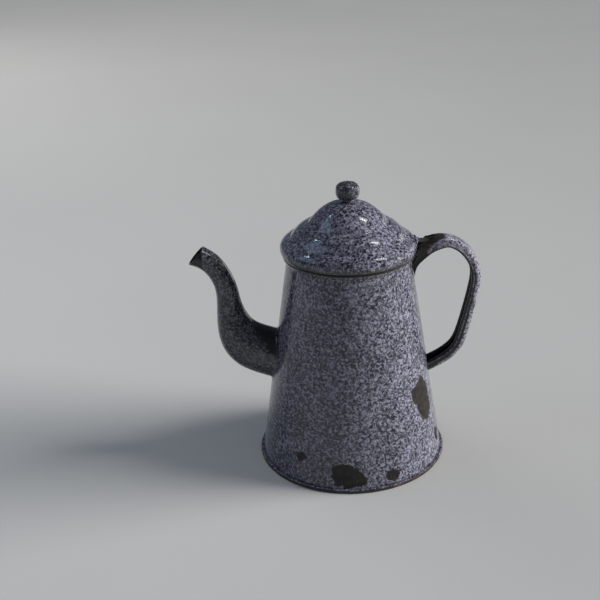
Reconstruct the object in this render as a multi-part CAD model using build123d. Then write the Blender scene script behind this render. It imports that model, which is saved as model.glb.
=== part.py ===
"""Enamelled gooseneck coffee percolator: tall conical pot, hinged three-tier lid, strap handle, pump insert.

Millimetres, +Z up. The origin is on the table at the pot's axis. The handle is at +X and the spout at -X.
"""

import math
import os

from build123d import *

# ---------------------------------------------------------------- driving dimensions
SHEET = 1.2                 # enamelled sheet steel, enamel included
POT_R_FOOT = 79.0           # outer radius of the wall, carried down to the table
POT_R_NECK = 51.8           # outer radius of the wall just under the mouth bead
NECK_Z = 180.2              # height where the mouth bead starts
BEAD_R = 54.7               # outer radius of the mouth bead
MOUTH_Z = 184.7             # top of the mouth bead
BEAD_THICK = 2.2            # radial thickness of the rolled bead's lip
FOOT_RIM_R = 81.2           # rolled seam that joins wall and bottom
FOOT_RIM_H = 3.2

LID_GAP = 0.3               # air between lid and mouth bead
LOWER_TIER = [(55.4, 185.0), (56.8, 189.4), (55.9, 193.2), (52.9, 196.2), (48.6, 198.8)]
MIDDLE_TIER = [(47.4, 199.8), (45.2, 202.0), (40.6, 206.0), (33.9, 210.2)]
UPPER_TIER = [(32.4, 211.4), (29.0, 215.0), (23.4, 220.0), (14.0, 225.8), (6.0, 228.2)]
LID_TOP_Z = 228.5
SKIRT_R_TOP = 49.6          # locating skirt inside the mouth
SKIRT_R_END = 47.9
SKIRT_END_Z = 177.0
SKIRT_SHEET = 0.9
SKIRT_FLANGE_R = 54.6
SKIRT_FLANGE_Z = MOUTH_Z + LID_GAP + 1.0

KNOB_R = 9.8
KNOB_LOW_Z = 229.6
KNOB_TOP_Z = 244.0
KNOB_NECK_R = 4.6
# knob outline from neck to top: fractions of its radius and of its half height
KNOB_SHAPE = [(0.91, -0.62), (1.0, 0.0), (0.91, 0.62), (0.52, 0.94)]
KNOB_FOOT_FLARE = 0.6
KNOB_BORE_DEPTH = 5.0
RIVET_R = 2.0               # rivet that holds the knob
RIVET_HEAD_R = 3.6
RIVET_HEAD_H = 1.2
WASHER_R = 5.0
WASHER_T = 1.0
WASHER_Z = LID_TOP_Z - SHEET - 1.5
CLOSE = 0.02                # gap round a rivet's shank

HINGE_X = 65.0              # hinge pin's axis runs along Y
HINGE_Z = 191.5
HINGE_PIN_R = 1.5
KNUCKLE_BORE_R = 1.55
KNUCKLE_R = 2.7
PIN_HEAD_R = 2.5
PIN_HEAD_H = 1.2
LEAF_W = 9.0
LEAF_T = 1.0
LEAF_GAP = 0.03             # air between leaf and lid
LEAF_X = (40.0, 70.0)       # space that the leaf's saddle is cut from
SADDLE_Z = (190.2, 197.8)
LEAF_PLATE_X = 57.0
LEAF_PLATE_Z = (192.0, 193.0)
LEAF_RIVET_R = 1.3
LEAF_RIVET_Y = 2.5
LEAF_RIVET_HEAD_R = 2.1
LEAF_RIVET_BORE = (-2.6, 2.4)   # distances from the lid's surface, outwards
LEAF_RIVET_SHANK = (-2.3, 1.6)
LEAF_RIVET_OUT = (1.5, 2.1)
LEAF_RIVET_IN = (-2.9, -2.2)

HANDLE_W = 16.0
HANDLE_CROWN_R = 4.5        # rounding of the strap's two outer corners
HANDLE_SLOT_W = 10.4        # slot in the strap's head, where the lid's leaf swings
HANDLE_SLOT_END_X = 69.5
HANDLE_SLOT_Z = (182.0, 205.0)
# crown line of the strap: x, z and depth of its sides there, from the hinge down to the lower end
HANDLE_LINE = [
    (58.2, 191.6, 12.5),
    (67.5, 196.0, 12.0),
    (79.0, 197.2, 8.6),
    (89.5, 194.6, 7.8),
    (99.0, 187.6, 7.8),
    (106.3, 177.0, 8.0),
    (109.7, 163.0, 8.0),
    (108.2, 148.0, 8.0),
    (104.6, 129.5, 8.4),
    (100.2, 110.5, 8.8),
    (94.8, 95.8, 9.2),
    (84.5, 84.8, 9.4),
    (66.0, 74.2, 9.4),
    (58.0, 70.0, 9.4),
]
HANDLE_HEAD_X = 57.6        # the strap's head stays outside this radius, clear of the lid
HANDLE_CHEEK_Z = 186.5
HANDLE_HEAD_Z = 180.5       # below this height the head reaches in to the wall
HANDLE_NECK_Z = 178.0
HANDLE_TAIL_Z = 163.0       # lowest point of the sides against the wall under the mouth
HANDLE_TAIL_GAP = 0.4
# lower edge of the sides between the wall and the arch
HANDLE_FLARE = [(56.3, 171.5), (62.5, 178.8), (71.5, 185.6)]
HANDLE_BURIED_X = 50.0      # the blank starts inside the wall, and the wall's space is cut from it
HANDLE_OPENING = 3.0        # the hollow runs this far out past the edges of the sides
# the hollow's open side under the head
HANDLE_HOLLOW = [(66.0, 172.0), (57.5, 150.0), (40.0, 150.0)]
HANDLE_WALL_GAP = 0.05
LONG_EDGE = 150.0           # only the strap's lengthwise edges are longer than this
SPOUT_WALL_GAP = 0.02

SPOUT_SHEET = 1.1
# spout sections: centre x, centre z, climb in degrees above -X, half height, half width
SPOUT_LINE = [
    (-50.0, 89.5, 8.0, 21.8, 18.8),
    (-64.0, 92.3, 12.0, 21.6, 18.6),
    (-77.0, 96.4, 18.0, 21.2, 18.2),
    (-88.0, 101.9, 27.0, 20.4, 17.6),
    (-95.2, 109.4, 40.0, 18.6, 16.6),
    (-99.2, 119.0, 55.0, 15.8, 14.6),
    (-101.0, 129.4, 70.0, 12.6, 12.0),
    (-102.2, 141.7, 81.0, 10.1, 10.0),
    (-103.6, 153.7, 80.0, 9.2, 9.1),
    (-106.8, 163.4, 70.0, 8.9, 8.8),
    (-112.4, 172.9, 56.0, 8.9, 8.8),
    (-119.4, 179.4, 46.0, 9.2, 9.1),
    (-126.4, 182.9, 41.7, 9.8, 9.4),
]
STRAINER_HOLE_R = 1.8       # holes in the wall behind the spout
STRAINER_PITCH = 5.6
STRAINER_Z = 93.0
STRAINER_HALF_H = 17.0
STRAINER_HALF_W = 13.5
STRAINER_DRILL = 24.0

FLOOR_GAP = 0.3
FLOOR_Z = SHEET + FLOOR_GAP
TUBE_R = 4.5
TUBE_WALL = 0.7
TUBE_LOW_Z = 17.0
TUBE_TOP_Z = 205.0
BELL_R = 33.0
BELL_SHEET = 0.8
BELL_TOP_Z = 27.0
BELL_PORT_R = 2.2
BELL_PORTS = 6
BELL_PORT_CIRCLE = 23.5
BELL_PORT_TOP_Z = 16.0
VALVE_R = 8.0
VALVE_T = 0.8
VALVE_HOLE_R = 1.2
VALVE_REST_GAP = 0.1
SEAT_HOLES = 5
SEAT_HOLE_CIRCLE = 4.2
SEAT_SHEET = 0.8
SEAT_RIM_H = 2.8
SEAT_R = 12.0
SEAT_Z = 12.0
COLLAR_R = 8.0
COLLAR_H = 3.0
BASKET_Z = 114.0
BASKET_R = 38.0
BASKET_H = 46.0
BASKET_SHEET = 0.8
SLEEVE_BORE_R = 4.9
SLEEVE_WALL = 0.7
PERFORATION_R = 0.9
BASKET_HOLE_CIRCLES = (10.0, 15.0, 20.0, 25.0, 30.0, 34.5)
BASKET_HOLE_PITCH = 5.2
BASKET_LIP = 0.8
SLEEVE_SHORT = 2.0          # the sleeve ends this far under the basket's lip
SLEEVE_FLANGE = 1.4
SLEEVE_FLANGE_T = 0.7
SPREADER_R = 40.0
SPREADER_SKIRT_H = 5.0
SPREADER_SHEET = 0.8
SPREADER_COLLAR_H = 3.4
SPREADER_HOLE_CIRCLES = (15.0, 20.0, 25.0, 30.0, 35.0)
SPREADER_HOLE_PITCH = 7.0
LOOSE = 0.4                 # easy running gap between pieces that lift apart


# ---------------------------------------------------------------- helpers
def point(x, z):
    """A point of the XZ plane."""
    return (x, 0, z)


def ring(*corners):
    """Solid of revolution about Z of a straight-sided outline given as (radius, height) corners."""
    outline = Polyline(*[point(x, z) for x, z in corners], close=True)
    return revolve(make_face(outline), Axis.Z)


def wall_radius(z):
    """Outer radius of the conical wall at height z."""
    return POT_R_FOOT + (POT_R_NECK - POT_R_FOOT) * z / NECK_Z


def cone_solid(offset):
    """The space inside the pot's wall, grown outwards by offset."""
    return ring((0, -1), (wall_radius(-1) + offset, -1), (wall_radius(210) + offset, 210), (0, 210))


def cylinder_at(x, y, z_low, z_high, radius):
    """Upright cylinder between two heights."""
    return Pos(x, y, (z_low + z_high) / 2) * Cylinder(radius, z_high - z_low)


def block(x, y, z):
    """Box between pairs of limits."""
    size = [high - low for low, high in (x, y, z)]
    middle = [(high + low) / 2 for low, high in (x, y, z)]
    return Pos(*middle) * Box(*size)


def shifted_inwards(line, thickness):
    """A polyline moved to its right-hand side by thickness, with mitred corners."""
    moved = []
    for i, (x, z) in enumerate(line):
        x0, z0 = line[max(i - 1, 0)]
        x1, z1 = line[min(i + 1, len(line) - 1)]
        length = math.hypot(x1 - x0, z1 - z0)
        moved.append((x - (z1 - z0) / length * thickness, z + (x1 - x0) / length * thickness))
    return moved


def hole_circle(radius, count, hole_r, z_low, z_high):
    """A circle of upright drills."""
    drills = []
    for i in range(count):
        turn = 2 * math.pi * i / count
        drills.append(cylinder_at(radius * math.cos(turn), radius * math.sin(turn), z_low, z_high, hole_r))
    return drills


def perforations(circles, pitch, plate_z):
    """Fine drills on several circles, about one pitch apart, through the plate at plate_z."""
    drills = []
    for radius in circles:
        count = int(2 * math.pi * radius / pitch)
        drills += hole_circle(radius, count, PERFORATION_R, plate_z - 1, plate_z + 2)
    return drills


# ---------------------------------------------------------------- pot
def strainer_drills():
    """Drills along X in staggered rows, inside an ellipse behind the spout."""
    drills = []
    row_step = STRAINER_PITCH * math.sin(math.radians(60))
    rows = int(STRAINER_HALF_H / row_step)
    columns = int(STRAINER_HALF_W / STRAINER_PITCH) + 1
    for row in range(-rows, rows + 1):
        for column in range(-columns, columns + 1):
            y = (column + 0.5 * (row % 2)) * STRAINER_PITCH
            z = row * row_step
            if math.hypot(y / STRAINER_HALF_W, z / STRAINER_HALF_H) <= 1:
                place = Pos(-wall_radius(STRAINER_Z), y, STRAINER_Z + z) * Rot(0, 90, 0)
                drills.append(place * Cylinder(STRAINER_HOLE_R, STRAINER_DRILL))
    return drills


def pot_shell():
    """Conical wall with a rolled bead at the mouth, an outward foot flange and a punched strainer."""
    foot = FOOT_RIM_H / 2
    shell = ring(
        (wall_radius(foot) - SHEET, foot),
        (FOOT_RIM_R - SHEET, foot),
        (FOOT_RIM_R - SHEET, foot + 0.9),
        (wall_radius(foot + 0.9), foot + 0.9),
        (POT_R_NECK, NECK_Z),
        (BEAD_R - 0.6, NECK_Z + 1.2),
        (BEAD_R, NECK_Z + 2.2),
        (BEAD_R, MOUTH_Z - 0.8),
        (BEAD_R - 0.8, MOUTH_Z),
        (BEAD_R - BEAD_THICK, MOUTH_Z),
        (BEAD_R - BEAD_THICK - 1.2, NECK_Z + 2.0),
        (POT_R_NECK - SHEET, NECK_Z - 0.5),
    )
    return shell - strainer_drills()


def pot_bottom():
    """Flat pressed bottom whose edge folds up and over the wall's foot flange."""
    top = FOOT_RIM_H / 2 + 0.9
    return ring(
        (0, 0),
        (FOOT_RIM_R - 0.8, 0),
        (FOOT_RIM_R, 0.8),
        (FOOT_RIM_R, FOOT_RIM_H - 0.6),
        (FOOT_RIM_R - 0.6, FOOT_RIM_H),
        (wall_radius(FOOT_RIM_H) + 0.3, FOOT_RIM_H),
        (wall_radius(top) + 0.3, top),
        (FOOT_RIM_R - SHEET, top),
        (FOOT_RIM_R - SHEET, SHEET),
        (0, SHEET),
    )


def spout_section(side, x, z, climb, half_height, half_width):
    """Half of one oval ring of the gooseneck's wall, square to its climbing centreline."""
    angle = math.radians(climb)
    normal = (-math.cos(angle), 0, math.sin(angle))
    plane = Plane(origin=(x, 0, z), x_dir=(0, side, 0), z_dir=normal)
    thin_w = half_width - SPOUT_SHEET
    thin_h = half_height - SPOUT_SHEET
    outline = [
        EllipticalCenterArc((0, 0), half_width, half_height, start_angle=-90, arc_size=180),
        Line((0, half_height), (0, thin_h)),
        EllipticalCenterArc((0, 0), thin_w, thin_h, start_angle=-90, arc_size=180),
        Line((0, -thin_h), (0, -half_height)),
    ]
    return plane * make_face(outline)


def spout_half(side):
    """One of the two pressed halves of the hollow gooseneck; they meet in the plane of symmetry."""
    sections = [spout_section(side, *row) for row in SPOUT_LINE]
    half = loft(Sketch() + sections)
    return max((half - cone_solid(SPOUT_WALL_GAP)).solids(), key=lambda s: s.volume)


# ---------------------------------------------------------------- handle
def handle_lines():
    """Crown line and inner line of the strap in the XZ plane."""
    crown = [(x, z) for x, z, depth in HANDLE_LINE]
    inner = []
    for i, (x, z, depth) in enumerate(HANDLE_LINE):
        x0, z0 = crown[max(i - 1, 0)]
        x1, z1 = crown[min(i + 1, len(crown) - 1)]
        length = math.hypot(x1 - x0, z1 - z0)
        inner.append((x + (z1 - z0) / length * depth, z - (x1 - x0) / length * depth))
    return crown, inner


def rounded_crown(bar, width, radius):
    """The bar with its two long outer corners rounded."""
    corners = [e for e in bar.edges() if e.length > LONG_EDGE and abs(e.center().Y) > width / 2 - LOOSE]
    crown_corners = sorted(corners, key=lambda e: e.center().X)[-2:]
    return fillet(crown_corners, radius)


def side_bar(edges, width):
    """Straight bar across Y with the side outline that the edges enclose."""
    return Pos(0, width / 2, 0) * extrude(make_face(edges), amount=width, dir=(0, -1, 0))


def handle_blank(crown, inner):
    """Bar with the strap's side outline, its upper end flared down against the wall."""
    tail = (wall_radius(HANDLE_TAIL_Z) + HANDLE_TAIL_GAP, HANDLE_TAIL_Z)
    edges = [
        Spline(*[point(*p) for p in crown]),
        Line(point(*crown[-1]), point(*inner[-1])),
        Spline(*[point(*p) for p in [tail] + HANDLE_FLARE + inner[2:]]),
        Polyline(
            point(*crown[0]),
            point(HANDLE_HEAD_X, HANDLE_CHEEK_Z),
            point(HANDLE_HEAD_X, HANDLE_HEAD_Z),
            point(HANDLE_BURIED_X, HANDLE_NECK_Z),
            point(HANDLE_BURIED_X, HANDLE_TAIL_Z),
            point(*tail),
        ),
    ]
    return side_bar(edges, HANDLE_W)


def handle_cavity(crown, inner):
    """The channel's hollow: it follows the crown at sheet thickness and runs out of the open side."""
    edges = [
        Spline(*[point(*p) for p in crown]),
        Polyline(
            point(*crown[-1]),
            point(*inner[-1]),
            *[point(*p) for p in reversed(inner[2:-1])],
            *[point(*p) for p in HANDLE_HOLLOW],
            point(HANDLE_HOLLOW[-1][0], crown[0][1]),
            point(*crown[0]),
        ),
    ]
    width = HANDLE_W - 2 * SHEET
    return rounded_crown(side_bar(edges, width), width, HANDLE_CROWN_R - SHEET)


def handle():
    """Bent channel strap, open towards the pot, with a forked head for the lid's hinge."""
    crown, inner = handle_lines()
    bar = rounded_crown(handle_blank(crown, inner), HANDLE_W, HANDLE_CROWN_R)
    cavity = handle_cavity(shifted_inwards(crown, -SHEET), shifted_inwards(inner, -HANDLE_OPENING))
    slot = block((HANDLE_BURIED_X, HANDLE_SLOT_END_X), (-HANDLE_SLOT_W / 2, HANDLE_SLOT_W / 2), HANDLE_SLOT_Z)
    pin_hole = Pos(HINGE_X, 0, HINGE_Z) * Rot(90, 0, 0) * Cylinder(HINGE_PIN_R, 2 * HANDLE_W)
    strap = bar - cavity - slot - pin_hole - cone_solid(HANDLE_WALL_GAP)
    return max(strap.solids(), key=lambda s: s.volume)


def hinge_pin():
    """Headed pin through the fork of the handle's head."""
    shank = Cylinder(HINGE_PIN_R, HANDLE_W)
    head = Cylinder(PIN_HEAD_R, PIN_HEAD_H)
    reach = (HANDLE_W + PIN_HEAD_H) / 2
    pin = shank + Pos(0, 0, reach) * head + Pos(0, 0, -reach) * head
    return Pos(HINGE_X, 0, HINGE_Z) * Rot(90, 0, 0) * pin


# ---------------------------------------------------------------- lid
def tier_edges(offset):
    """The lid's three convex tiers as curves, moved towards the inside by offset."""
    lines = []
    for tier in (LOWER_TIER, MIDDLE_TIER, UPPER_TIER):
        lines.append(shifted_inwards(tier, offset) if offset else tier)
    return lines


def lid_outline(lines, top_z):
    """Edges from the rim up over the tiers to the axis."""
    edges = []
    last = None
    for line in lines:
        if last:
            edges.append(Line(point(*last), point(*line[0])))
        edges.append(Spline(*[point(*p) for p in line]))
        last = line[-1]
    edges.append(Line(point(*last), point(0, top_z)))
    return edges


def lid_shell():
    """Domed cover in three tiers with a turned-in rim."""
    outside = tier_edges(0)
    inside = tier_edges(SHEET)
    seat_z = LOWER_TIER[0][1]
    inside[0][0] = (LOWER_TIER[0][0] - SHEET, seat_z)
    edges = lid_outline(outside, LID_TOP_Z)
    edges += lid_outline(inside, LID_TOP_Z - SHEET)
    edges.append(Line(point(*LOWER_TIER[0]), point(*inside[0][0])))
    edges.append(Line(point(0, LID_TOP_Z), point(0, LID_TOP_Z - SHEET)))
    shell = revolve(make_face(edges), Axis.Z)
    bore = cylinder_at(0, 0, WASHER_Z, KNOB_TOP_Z, RIVET_R)
    return shell - bore - leaf_rivet_shanks()


def lid_skirt():
    """Tapered ring that centres the lid in the mouth; its upper flange is fixed under the lid's rim."""
    return ring(
        (SKIRT_R_TOP, SKIRT_FLANGE_Z),
        (SKIRT_FLANGE_R, SKIRT_FLANGE_Z),
        (SKIRT_FLANGE_R, SKIRT_FLANGE_Z + SKIRT_SHEET),
        (SKIRT_R_TOP - SKIRT_SHEET, SKIRT_FLANGE_Z + SKIRT_SHEET),
        (SKIRT_R_END - SKIRT_SHEET, SKIRT_END_Z),
        (SKIRT_R_END, SKIRT_END_Z),
    )


def knob():
    """Flattened ball on a short neck, bored for its rivet."""
    middle = (KNOB_LOW_Z + KNOB_TOP_Z) / 2
    half = (KNOB_TOP_Z - KNOB_LOW_Z) / 2
    foot_z = LID_TOP_Z + LEAF_GAP
    neck = point(KNOB_NECK_R, KNOB_LOW_Z + LOOSE)
    ball = Spline(
        neck,
        *[point(KNOB_R * across, middle + half * up) for across, up in KNOB_SHAPE],
        point(0, KNOB_TOP_Z),
        tangents=[(0.9, 0, 0.45), (-1, 0, 0)],
    )
    core = Polyline(
        point(0, KNOB_TOP_Z),
        point(0, KNOB_TOP_Z - KNOB_BORE_DEPTH),
        point(RIVET_R, KNOB_TOP_Z - KNOB_BORE_DEPTH),
        point(RIVET_R, foot_z),
        point(KNOB_NECK_R + KNOB_FOOT_FLARE, foot_z),
        neck,
    )
    return revolve(make_face(ball + core), Axis.Z)


def knob_rivet():
    """Rivet through the dome into the knob, headed inside the lid."""
    shank = cylinder_at(0, 0, WASHER_Z, KNOB_TOP_Z - KNOB_BORE_DEPTH - LOOSE, RIVET_R - CLOSE)
    return shank + cylinder_at(0, 0, WASHER_Z - RIVET_HEAD_H, WASHER_Z, RIVET_HEAD_R)


def knob_washer():
    """Flat washer under the rivet's head."""
    plate = cylinder_at(0, 0, WASHER_Z, WASHER_Z + WASHER_T, WASHER_R)
    return plate - cylinder_at(0, 0, WASHER_Z - WASHER_T, WASHER_Z + 2 * WASHER_T, RIVET_R)


def leaf_rivet_shanks():
    """Shanks of the two rivets that hold the leaf, square to the lid's shoulder."""
    return [rivet_at(side * LEAF_RIVET_Y, LEAF_RIVET_R, *LEAF_RIVET_BORE) for side in (-1, 1)]


def rivet_at(y, radius, low, high):
    """Cylinder square to the lower tier's shoulder, between two distances from its surface."""
    (x0, z0), (x1, z1) = LOWER_TIER[2:4]
    tilt = math.degrees(math.atan2(z1 - z0, x0 - x1))
    place = Pos((x0 + x1) / 2, y, (z0 + z1) / 2) * Rot(0, tilt, 0) * Pos(0, 0, (low + high) / 2)
    return place * Cylinder(radius, high - low)


def hinge_leaf():
    """Leaf that follows the lid's shoulder, runs out to the handle and curls round the pin."""
    low = shifted_inwards(LOWER_TIER, -LEAF_GAP)[1:]
    high = shifted_inwards(LOWER_TIER, -LEAF_GAP - LEAF_T)[1:]
    saddle_face = make_face(
        Spline(*[point(*p) for p in low])
        + Spline(*[point(*p) for p in high])
        + Line(point(*low[0]), point(*high[0]))
        + Line(point(*low[-1]), point(*high[-1]))
    )
    width = (-LEAF_W / 2, LEAF_W / 2)
    saddle = revolve(saddle_face, Axis.Z) & block(LEAF_X, width, SADDLE_Z)
    plate = block((LEAF_PLATE_X, HINGE_X), width, LEAF_PLATE_Z)
    knuckle = Pos(HINGE_X, 0, HINGE_Z) * Rot(90, 0, 0) * Cylinder(KNUCKLE_R, LEAF_W)
    bore = Pos(HINGE_X, 0, HINGE_Z) * Rot(90, 0, 0) * Cylinder(KNUCKLE_BORE_R, 2 * LEAF_W)
    leaf = saddle + plate + knuckle - bore - leaf_rivet_shanks()
    return max(leaf.solids(), key=lambda s: s.volume)


def hinge_rivets():
    """Two rivets with a head on the leaf and a closed end under the lid."""
    rivets = []
    for side in (-1, 1):
        y = side * LEAF_RIVET_Y
        shank = rivet_at(y, LEAF_RIVET_R - CLOSE, *LEAF_RIVET_SHANK)
        out = rivet_at(y, LEAF_RIVET_HEAD_R, *LEAF_RIVET_OUT)
        rivets.append(shank + out + rivet_at(y, LEAF_RIVET_HEAD_R, *LEAF_RIVET_IN))
    return rivets


# ---------------------------------------------------------------- pump insert
def bell_outline(offset):
    """Edges of the bell's slope, moved inwards by offset."""
    return [
        (BELL_R - offset, FLOOR_Z + 0.9),
        (BELL_R - 4.0 - offset, FLOOR_Z + 4.5 - offset * 0.4),
        (14.5 - offset * 0.6, 17.5 - offset),
        (8.0 - offset, 23.0 - offset * 0.6),
    ]


def pump_foot():
    """Bell that stands on the pot's floor and gathers the boiling water under the tube."""
    outside = bell_outline(0)
    inside = bell_outline(BELL_SHEET)
    slope = Spline(*[point(*p) for p in outside])
    under = Spline(*[point(*p) for p in inside])
    rim = Polyline(
        point(*outside[0]),
        point(BELL_R, FLOOR_Z),
        point(BELL_R - BELL_SHEET, FLOOR_Z),
        point(*inside[0]),
    )
    top = Polyline(
        point(*outside[-1]),
        point(TUBE_R + BELL_SHEET, BELL_TOP_Z - 2.0),
        point(TUBE_R + BELL_SHEET, BELL_TOP_Z),
        point(TUBE_R, BELL_TOP_Z),
        point(TUBE_R, BELL_TOP_Z - 4.0),
        point(*inside[-1]),
    )
    bell = revolve(make_face(slope + under + rim + top), Axis.Z)
    return bell - hole_circle(BELL_PORT_CIRCLE, BELL_PORTS, BELL_PORT_R, 0, BELL_PORT_TOP_Z)


def valve_seat():
    """Small perforated plate crimped in the bell; the loose disc rests on it."""
    plate_top = SEAT_Z + SEAT_SHEET
    plate = cylinder_at(0, 0, SEAT_Z, plate_top, SEAT_R)
    rim = ring(
        (SEAT_R - SEAT_SHEET, plate_top),
        (SEAT_R, plate_top),
        (SEAT_R, plate_top + SEAT_RIM_H),
        (SEAT_R - SEAT_SHEET, plate_top + SEAT_RIM_H),
    )
    return plate + rim - hole_circle(SEAT_HOLE_CIRCLE, SEAT_HOLES, VALVE_HOLE_R, 0, plate_top + 1)


def valve_disc():
    """Loose disc that lifts off its seat with each surge and drops back."""
    low = SEAT_Z + SEAT_SHEET + VALVE_REST_GAP
    return cylinder_at(0, 0, low, low + VALVE_T, VALVE_R) - cylinder_at(0, 0, SEAT_Z, BELL_TOP_Z, VALVE_HOLE_R)


def pump_tube():
    """Riser tube from the bell to under the dome."""
    tube = cylinder_at(0, 0, TUBE_LOW_Z, TUBE_TOP_Z, TUBE_R)
    return tube - cylinder_at(0, 0, TUBE_LOW_Z - 1, TUBE_TOP_Z + 1, TUBE_R - TUBE_WALL)


def tube_collar():
    """Collar on the riser that carries the basket."""
    top = BASKET_Z - FLOOR_GAP
    return ring(
        (TUBE_R, top - COLLAR_H),
        (TUBE_R + 1.2, top - COLLAR_H),
        (COLLAR_R, top - 1.0),
        (COLLAR_R, top),
        (TUBE_R, top),
    )


# ---------------------------------------------------------------- basket
def coffee_basket():
    """Straight cup with a rolled lip and a perforated floor."""
    top = BASKET_Z + BASKET_H
    bore = SLEEVE_BORE_R + SLEEVE_WALL
    cup = ring(
        (bore, BASKET_Z),
        (BASKET_R - 1.5, BASKET_Z),
        (BASKET_R, BASKET_Z + 1.5),
        (BASKET_R, top - 1.0),
        (BASKET_R + BASKET_LIP, top - 0.6),
        (BASKET_R + BASKET_LIP, top),
        (BASKET_R - BASKET_SHEET, top),
        (BASKET_R - BASKET_SHEET, BASKET_Z + 1.9),
        (BASKET_R - 1.9, BASKET_Z + BASKET_SHEET),
        (bore, BASKET_Z + BASKET_SHEET),
    )
    return cup - perforations(BASKET_HOLE_CIRCLES, BASKET_HOLE_PITCH, BASKET_Z)


def basket_sleeve():
    """Tube in the middle of the basket that slides over the riser."""
    top = BASKET_Z + BASKET_H - SLEEVE_SHORT
    outer = SLEEVE_BORE_R + SLEEVE_WALL
    plate_top = BASKET_Z + BASKET_SHEET
    return ring(
        (SLEEVE_BORE_R, BASKET_Z),
        (outer, BASKET_Z),
        (outer, plate_top),
        (outer + SLEEVE_FLANGE, plate_top),
        (outer + SLEEVE_FLANGE, plate_top + SLEEVE_FLANGE_T),
        (outer, plate_top + SLEEVE_FLANGE_T),
        (outer, top),
        (SLEEVE_BORE_R, top),
    )


def spreader_lid():
    """Perforated cover of the basket that spreads the returning coffee over the grounds."""
    low = BASKET_Z + BASKET_H + FLOOR_GAP
    inner = BASKET_R + BASKET_LIP + LOOSE
    plate = ring(
        (SLEEVE_BORE_R, low + SPREADER_COLLAR_H),
        (SLEEVE_BORE_R + 3.0, low + SPREADER_COLLAR_H),
        (SLEEVE_BORE_R + 5.5, low),
        (inner, low),
        (inner, low - SPREADER_SKIRT_H),
        (SPREADER_R, low - SPREADER_SKIRT_H),
        (SPREADER_R, low + 0.3),
        (SPREADER_R - 0.6, low + SPREADER_SHEET),
        (SLEEVE_BORE_R + 5.9, low + SPREADER_SHEET),
        (SLEEVE_BORE_R + 3.4, low + SPREADER_COLLAR_H + SPREADER_SHEET),
        (SLEEVE_BORE_R, low + SPREADER_COLLAR_H + SPREADER_SHEET),
    )
    return plate - perforations(SPREADER_HOLE_CIRCLES, SPREADER_HOLE_PITCH, low)


# ---------------------------------------------------------------- write
def main():
    os.makedirs("parts", exist_ok=True)
    pieces = {
        "pot_shell": pot_shell(),
        "pot_bottom": pot_bottom(),
        "spout_near_half": spout_half(-1),
        "spout_far_half": spout_half(1),
        "handle": handle(),
        "hinge_pin": hinge_pin(),
        "lid_shell": lid_shell(),
        "lid_skirt": lid_skirt(),
        "knob": knob(),
        "knob_rivet": knob_rivet(),
        "knob_washer": knob_washer(),
        "hinge_leaf": hinge_leaf(),
        "hinge_rivets": Compound(children=hinge_rivets()),
        "pump_tube": pump_tube(),
        "pump_foot": pump_foot(),
        "valve_seat": valve_seat(),
        "valve_disc": valve_disc(),
        "tube_collar": tube_collar(),
        "coffee_basket": coffee_basket(),
        "basket_sleeve": basket_sleeve(),
        "spreader_lid": spreader_lid(),
    }
    for name, shape in pieces.items():
        export_step(shape, f"parts/{name}.step")


main()
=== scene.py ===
"""Looks of the enamelled gooseneck coffee percolator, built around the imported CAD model.

Lengths below are millimetres; MM turns them into Blender's metres.
"""

import math

import bmesh
import bpy
import numpy as np
from mathutils import Matrix, Vector, noise


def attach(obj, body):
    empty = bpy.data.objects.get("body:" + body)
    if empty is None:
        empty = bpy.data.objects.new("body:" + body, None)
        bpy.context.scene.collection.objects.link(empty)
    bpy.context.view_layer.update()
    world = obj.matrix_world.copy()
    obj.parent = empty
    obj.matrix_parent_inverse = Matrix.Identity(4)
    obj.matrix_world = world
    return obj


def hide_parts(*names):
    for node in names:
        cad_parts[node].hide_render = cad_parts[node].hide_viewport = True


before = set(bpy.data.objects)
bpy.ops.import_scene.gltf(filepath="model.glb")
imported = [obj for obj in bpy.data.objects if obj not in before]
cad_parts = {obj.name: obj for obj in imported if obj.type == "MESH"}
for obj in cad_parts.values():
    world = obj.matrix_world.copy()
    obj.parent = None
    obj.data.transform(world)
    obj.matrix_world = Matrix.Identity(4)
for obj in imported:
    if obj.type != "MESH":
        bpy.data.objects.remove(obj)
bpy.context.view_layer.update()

MM = 0.001
SCENE = bpy.context.scene

# ---------------------------------------------------------------- dimensions, mostly as in the CAD
SHEET = 1.2
POT_R_FOOT = 79.0
POT_R_NECK = 51.8
NECK_Z = 180.2
BEAD_R = 54.7
MOUTH_Z = 184.7
BEAD_THICK = 2.2
FOOT_RIM_R = 81.2
FOOT_RIM_H = 3.2
LOWER_TIER = [(55.4, 185.0), (56.8, 189.4), (55.9, 193.2), (52.9, 196.2), (48.6, 198.8)]
MIDDLE_TIER = [(47.4, 199.8), (45.2, 202.0), (40.6, 206.0), (33.9, 210.2)]
UPPER_TIER = [(32.4, 211.4), (29.0, 215.0), (23.4, 220.0), (14.0, 225.8), (6.0, 228.2)]
LID_TOP_Z = 228.5
SKIRT_R_TOP = 49.6
SKIRT_R_END = 47.9
SKIRT_END_Z = 177.0
SKIRT_SHEET = 0.9
KNOB_R = 9.8
KNOB_LOW_Z = 229.6
KNOB_TOP_Z = 244.0
KNOB_NECK_R = 4.6
HINGE_X = 65.0
HINGE_Z = 191.5
HINGE_PIN_R = 1.5
KNUCKLE_R = 2.7
LEAF_W = 9.0
LEAF_T = 1.0
LEAF_RIVET_Y = 2.5
LEAF_LINE = [(51.4, 198.3), (53.9, 196.6), (56.3, 194.9), (59.0, 193.9), (62.2, 193.8)]
HANDLE_W = 16.0
HANDLE_CROWN_R = 4.5
HANDLE_SLOT_W = 10.4
HANDLE_SLOT_END_X = 71.0    # 1.5 more than in the CAD, so that the open leaf clears it
STRAP_SHEET = 1.1
STRAP_CURL_R = 1.5
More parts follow.
